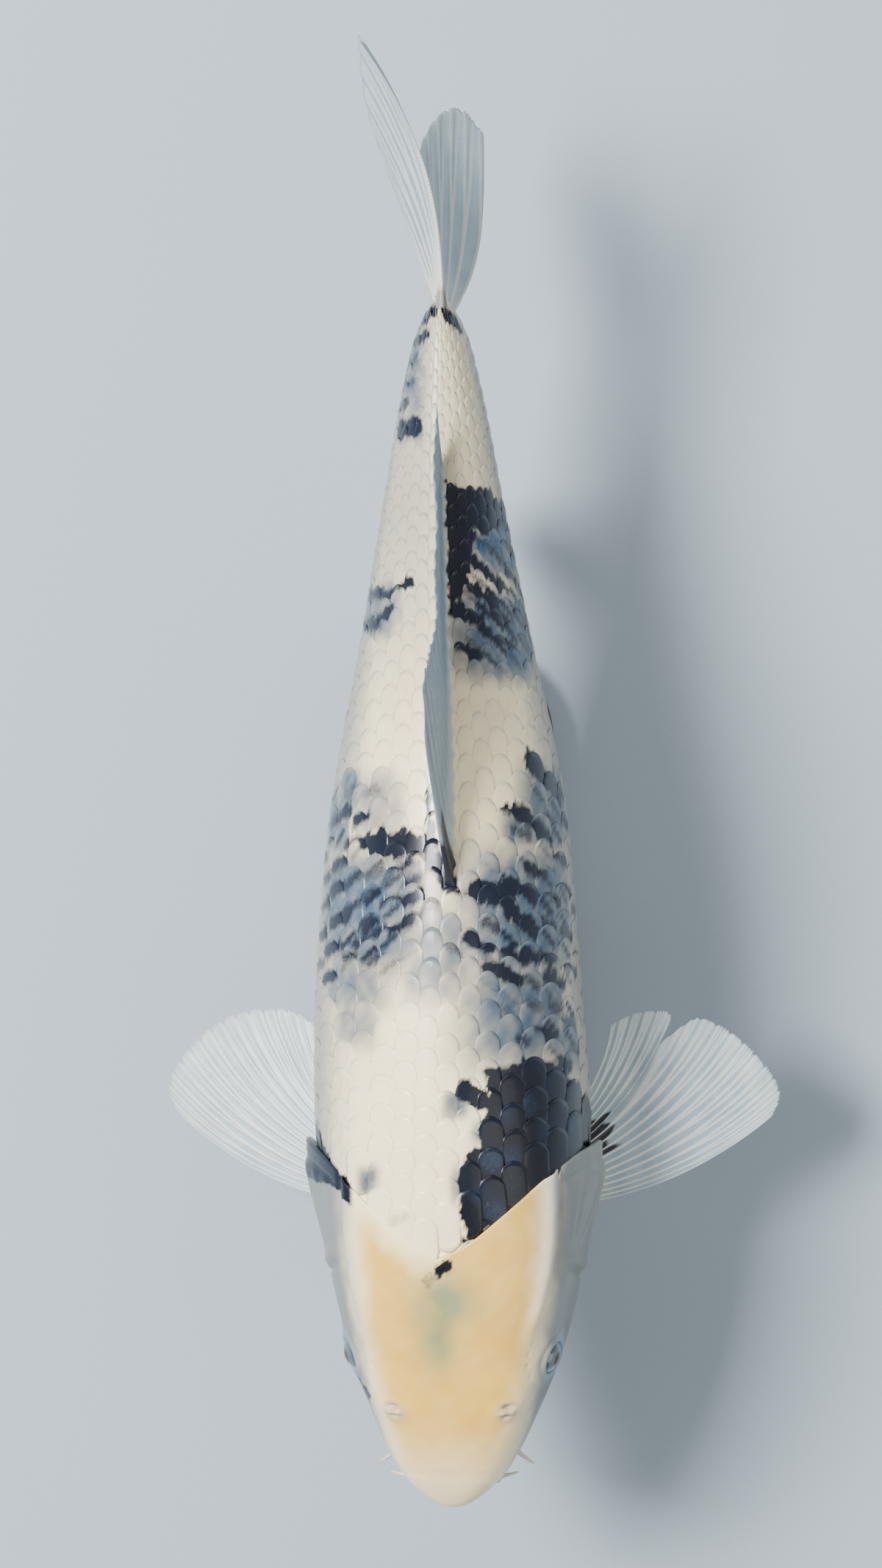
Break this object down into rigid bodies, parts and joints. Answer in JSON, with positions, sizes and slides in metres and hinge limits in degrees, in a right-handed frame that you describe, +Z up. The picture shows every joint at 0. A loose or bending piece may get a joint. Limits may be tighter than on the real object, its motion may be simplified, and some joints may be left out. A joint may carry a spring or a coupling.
{
  "type": "koi carp model",
  "caption": "Life-size model of a swimming koi carp with spread breast fins and a bent tail fin, held on two rods over a flat wooden base.",
  "frame": {"origin": "centre of the display base's flat underside", "axes": "+Z up, -Y towards the fish's snout, +X towards the fish's left side"},
  "size_m": [0.2197, 0.4933, 0.222],
  "materials": {
    "skin": "wet scaled skin, cream white with black markings and a yellowish head",
    "fins": "thin translucent web over bony rays",
    "eyes": "wet and glossy",
    "stand_wood": "dark, satin varnish",
    "stand_steel": "brushed"
  },
  "bodies": {
    "root": {"head": "skin", "lower_jaw": "skin", "upper_lip": "skin", "lower_lip": "skin", "gill_cover_left": "skin", "gill_cover_right": "skin", "nostril_left": "skin", "nostril_right": "skin", "barbel_short_left": "skin", "barbel_short_right": "skin", "barbel_long_left": "skin", "barbel_long_right": "skin", "trunk_front": "skin", "trunk_rear": "skin", "tail_stalk": "skin", "eye_left": "eyes", "eye_right": "eyes", "dorsal_fin": "fins", "anal_fin": "fins", "pelvic_fin_left": "fins", "pelvic_fin_right": "fins", "pectoral_fin_left": "fins", "pectoral_fin_right": "fins", "tail_fin_upper": "fins", "tail_fin_lower": "fins", "stand_base": "stand_wood", "stand_rod_front": "stand_steel", "stand_rod_rear": "stand_steel"}
  },
  "joints": []
}
